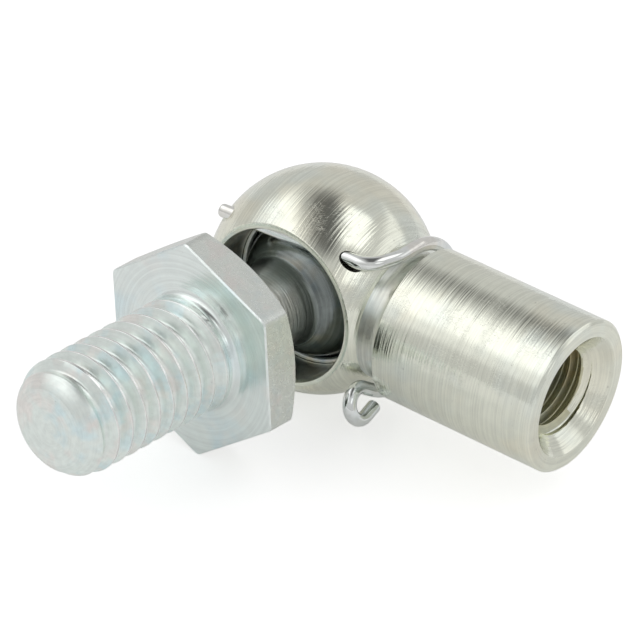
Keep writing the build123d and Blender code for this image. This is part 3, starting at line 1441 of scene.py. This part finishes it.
SOCKET_OUTSIDE = MetalFinish(
    "socket zinc", roughness=0.13, drift=0.10, wear=0.6,
    plating=Plating(
        (0.90, 0.915, 0.80), (0.87, 0.91, 0.83), (0.92, 0.905, 0.765), 4.0, 0.04, 0.0012
    ),
    marks=Marks(pitch=0.12, around=0.9, depth=0.017, broad=0.016, streak=0.10),
)
SOCKET_CUP = MetalFinish(
    "socket cup", roughness=0.30, drift=0.10, wear=0.2,
    plating=Plating((0.97, 0.97, 0.85), (0.90, 0.94, 0.86), (0.98, 0.95, 0.79), 2.5, 0.05, 0.002),
    marks=Marks(pitch=0.12, around=0.8, depth=0.008, broad=0.010, streak=0.06),
)
SOCKET_NECK = MetalFinish(
    "socket neck", roughness=0.34, drift=0.08, wear=0.3,
    plating=Plating((0.86, 0.89, 0.83), (0.82, 0.88, 0.85), (0.89, 0.88, 0.79), 3.0, 0.05, 0.0012),
    marks=Marks(pitch=0.14, around=1.1, depth=0.014, broad=0.014, streak=0.16),
)
SOCKET_BORE = MetalFinish(
    "socket bore", roughness=0.36, drift=0.10, wear=0.3,
    plating=Plating((0.70, 0.69, 0.50), (0.62, 0.64, 0.50), (0.76, 0.67, 0.42), 2.0, 0.08, 0.003),
    marks=Marks(pitch=0.10, around=1.2, depth=0.002, broad=0.002, streak=0.10),
)
STUD_FACE = MetalFinish(
    "stud zinc face", roughness=0.20, drift=0.08, wear=0.3,
    plating=Plating((0.93, 0.99, 0.965), (0.84, 0.96, 0.98), (0.96, 0.96, 0.92), 4.0, 0.03, 0.001),
    marks=Marks(pitch=0.14, around=0.5, depth=0.011, broad=0.004, streak=0.08),
)
STUD_FLATS = MetalFinish(
    "stud zinc flats", roughness=0.28, drift=0.12, wear=0.3,
    plating=Plating(
        (0.80, 0.83, 0.785), (0.765, 0.815, 0.79), (0.82, 0.805, 0.765), 1.3, 0.05, 0.007
    ),
    marks=Marks(pitch=0.40, around=2.0, depth=0.0006, broad=0.001, streak=0.04),
)
STUD_THREAD = MetalFinish(
    "stud zinc thread", roughness=0.33, drift=0.14, wear=0.6,
    plating=Plating((0.93, 0.995, 0.955), (0.84, 0.98, 0.99), (0.97, 0.95, 0.91), 2.0, 0.06, 0.004),
    marks=Marks(pitch=0.12, around=1.6, depth=0.003, broad=0.001, streak=0.05),
)
STUD_CREST = MetalFinish(
    "stud zinc crest", roughness=0.18, drift=0.14, wear=0.4,
    plating=Plating((0.98, 0.99, 0.97), (0.95, 0.99, 0.98), (0.99, 0.98, 0.95), 2.0, 0.08, 0.006),
    marks=Marks(pitch=0.12, around=1.6, depth=0.002, broad=0.001, streak=0.0),
)
# The stem's colour fades dark towards the ball: painted shade where the stem runs into the socket's
# mouth.
STUD_STEM = MetalFinish(
    "stud zinc stem with painted shade", roughness=0.34, drift=0.12, wear=0.3,
    plating=Plating((0.98, 1.0, 0.97), (0.90, 0.97, 0.97), (0.99, 0.98, 0.92), 2.5, 0.05, 0.001),
    marks=Marks(pitch=0.16, around=0.7, depth=0.024, broad=0.020, streak=0.22),
    fade=ShadeFade((0.26, 0.29, 0.28), 6.3, 4.3),
)
# The ball's dark colour is painted shade: a darkened copy of the stud's zinc for the shade inside
# the socket's cup.
STUD_BALL_SHADED = MetalFinish(
    "stud ball painted shade", roughness=0.20, drift=0.12, wear=0.3,
    plating=Plating((0.26, 0.29, 0.28), (0.21, 0.26, 0.28), (0.30, 0.30, 0.26), 2.5, 0.1, 0.001),
    marks=Marks(pitch=0.20, around=0.7, depth=0.012, broad=0.010, streak=0.30),
)
CLIP_STEEL = MetalFinish(
    "clip wire", roughness=0.07, drift=0.06, wear=0.5,
    plating=Plating((0.87, 0.89, 0.87), (0.83, 0.87, 0.87), (0.89, 0.87, 0.82), 2.5, 0.08, 0.0008),
    marks=Marks(pitch=0.30, around=1.0, depth=0.0004, broad=0.0004, streak=0.0),
)
RING_STEEL = MetalFinish(
    "ring wire", roughness=0.25, drift=0.12, wear=0.3,
    plating=Plating((0.56, 0.56, 0.54), (0.46, 0.50, 0.54), (0.62, 0.56, 0.46), 1.5, 0.1, 0.001),
    marks=Marks(pitch=0.20, around=1.0, depth=0.0005, broad=0.0005, streak=0.0),
)


@dataclass(frozen=True)
class SoftBox:
    """A lit or dark area of the studio's ceiling, in slopes from the part.

    Args:
        across: Across the camera's view: where it starts, is full, starts to end and has ended.
        towards: The same towards the camera.
        light: Its brightness.
        full: How far it covers what is behind it.
    """

    across: Span
    towards: Span
    light: float
    full: float = 1.0


class Studio:
    """Pale floor, soft ceiling lights and the camera."""

    WALL = 0.6
    HORIZON = 0.02
    RIGHT = (0.797, 0.604, 0.0)
    TOWARDS = (0.56, -0.83, 0.0)
    CEILING = (
        SoftBox((1.0, 1.4, 2.6, 3.2), (-1.6, -1.2, 0.2, 0.6), 0.95),
        SoftBox((-3.0, -1.7, -0.52, -0.36), (-1.6, -0.8, 1.1, 2.0), 0.88),
        SoftBox((-1.5, -1.05, -0.6, -0.42), (-1.1, -0.6, 0.45, 0.9), 1.25),
        SoftBox((0.2, 0.3, 0.68, 0.85), (-0.5, -0.32, 0.3, 0.5), 1.3),
        SoftBox((-0.42, -0.1, 0.08, 0.26), (-1.2, -0.35, 0.45, 1.0), 0.1, 0.95),
        SoftBox((0.4, 0.6, 1.1, 1.5), (0.85, 1.05, 1.7, 2.2), 1.2),
    )
    CAMERA_AT = (0.15968, -0.26298, 0.19135)
    CAMERA_RIGHT = (0.7941, 0.6017, 0.0863)
    CAMERA_UP = (-0.3751, 0.3733, 0.8485)
    LENS = 323.54
    SENSOR = 36.0
    FLOOR_SIZE = 3.0
    FLOOR_ALBEDO = 0.82
    FLOOR_GLOW = 0.56
    FLOOR_SHEEN = 0.16

    def build(self) -> None:
        """Builds world, floor and camera."""
        self.world()
        self.floor()
        self.camera()
        bpy.context.scene.view_settings.view_transform = "Standard"

    def world(self) -> None:
        """Lights the scene from all round, and keeps the background white."""
        world = bpy.data.worlds.new("studio")
        world.use_nodes = True
        bpy.context.scene.world = world
        graph = Graph(world.node_tree)
        way = graph.node("ShaderNodeTexCoord").outputs["Generated"]
        up = graph.math("MAXIMUM", graph.dot(way, (0, 0, 1)), self.HORIZON)
        across = graph.math("DIVIDE", graph.dot(way, self.RIGHT), up)
        towards = graph.math("DIVIDE", graph.dot(way, self.TOWARDS), up)
        light: Value = self.WALL
        for box in self.CEILING:
            cover: Value = box.full
            for slope, (start, full, ending, end) in ((across, box.across), (towards, box.towards)):
                cover = graph.times(cover, graph.ramp(slope, start, full))
                cover = graph.times(cover, graph.ramp(slope, end, ending))
            light = graph.blend(cover, light, box.light)
        seen = graph.node("ShaderNodeLightPath").outputs["Is Camera Ray"]
        strength = graph.blend(seen, light, 1.0)
        glow = graph.node("ShaderNodeBackground", {"Color": (1, 1, 1, 1), "Strength": strength})
        graph.node("ShaderNodeOutputWorld", {0: glow.outputs[0]})

    def floor(self) -> None:
        """Lays the floor under the part."""
        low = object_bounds()[0][2]
        bm = bmesh.new()
        bmesh.ops.create_grid(bm, x_segments=1, y_segments=1, size=self.FLOOR_SIZE)
        bmesh.ops.translate(bm, vec=(0, 0, low), verts=bm.verts)
        floor = link_mesh(bm, "floor")
        floor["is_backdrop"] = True
        material, graph = new_material("floor")
        paper = graph.node("ShaderNodeBsdfDiffuse", {"Color": (*(self.FLOOR_ALBEDO,) * 3, 1)})
        path = graph.node("ShaderNodeLightPath").outputs
        seen = graph.times(path["Is Camera Ray"], self.FLOOR_GLOW)
        mirrored = graph.times(path["Is Glossy Ray"], self.FLOOR_SHEEN)
        glow = graph.node("ShaderNodeEmission", {"Strength": graph.plus(seen, mirrored)})
        both = graph.node("ShaderNodeAddShader", {0: paper.outputs[0], 1: glow.outputs[0]})
        graph.node("ShaderNodeOutputMaterial", {0: both.outputs[0]})
        floor.data.materials.append(material)

    def camera(self) -> None:
        """Sets up the camera."""
        data = bpy.data.cameras.new("camera")
        data.lens = self.LENS
        data.sensor_width = self.SENSOR
        camera = bpy.data.objects.new("camera", data)
        right, up = Vector(self.CAMERA_RIGHT), Vector(self.CAMERA_UP)
        turn = Matrix((right, up, right.cross(up))).transposed().to_4x4()
        camera.matrix_world = Matrix.Translation(self.CAMERA_AT) @ turn
        bpy.context.scene.collection.objects.link(camera)
        bpy.context.scene.camera = camera


def dress(piece: Object, body: Body, node: str, finishes: list) -> None:
    """Puts materials on a piece and ties it to the frame.

    Args:
        piece: The piece.
        body: Body that it rides on.
        node: CAD node that it stands for.
        finishes: Materials by index.
    """
    slots = piece.data.materials
    for i, material in enumerate(finishes):
        if i < len(slots):
            slots[i] = material
        else:
            slots.append(material)
    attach(piece, body.value)
    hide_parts(node)
    LOG.info("%s: %d faces", piece.name, len(piece.data.polygons))


def main() -> None:
    """Builds the ball joint and its studio."""
    logging.basicConfig(level=logging.INFO)
    effects = SharedEffects()
    socket, stud, clip, ring = BallSocket(), BallStud(), SafetyClip(), RetainingRing()
    centre = socket.centre()
    about_shank, about_mouth = socket.shank_frame().matrix(), socket.mouth_frame().matrix()
    about_stud = stud.turning_frame().matrix()
    half = clip.leg_half() + socket.HOLE_SPARE
    piece = socket.build(centre + clip.leg_point(-half), centre + clip.leg_point(half))
    dress(
        piece, Body.SOCKET, "ball_socket",
        [
            SOCKET_OUTSIDE.build(effects, about_shank),
            SOCKET_CUP.build(effects, about_mouth),
            SOCKET_BORE.build(effects, about_shank),
            SOCKET_NECK.build(effects, about_shank),
        ],
    )
    stud_finishes = (STUD_FACE, STUD_FLATS, STUD_THREAD, STUD_CREST, STUD_STEM, STUD_BALL_SHADED)
    dress(
        stud.build(), Body.STUD, "ball_stud",
        [finish.build(effects, about_stud) for finish in stud_finishes],
    )
    piece = clip.wire.build(clip.path().points, centre)
    dress(piece, Body.SOCKET, "safety_clip", [CLIP_STEEL.build(effects, about_shank)])
    piece = ring.wire.build(ring.path().points, centre)
    dress(piece, Body.RING, "retaining_ring", [RING_STEEL.build(effects, about_mouth)])
    Studio().build()


if __name__ == "__main__":
    main()
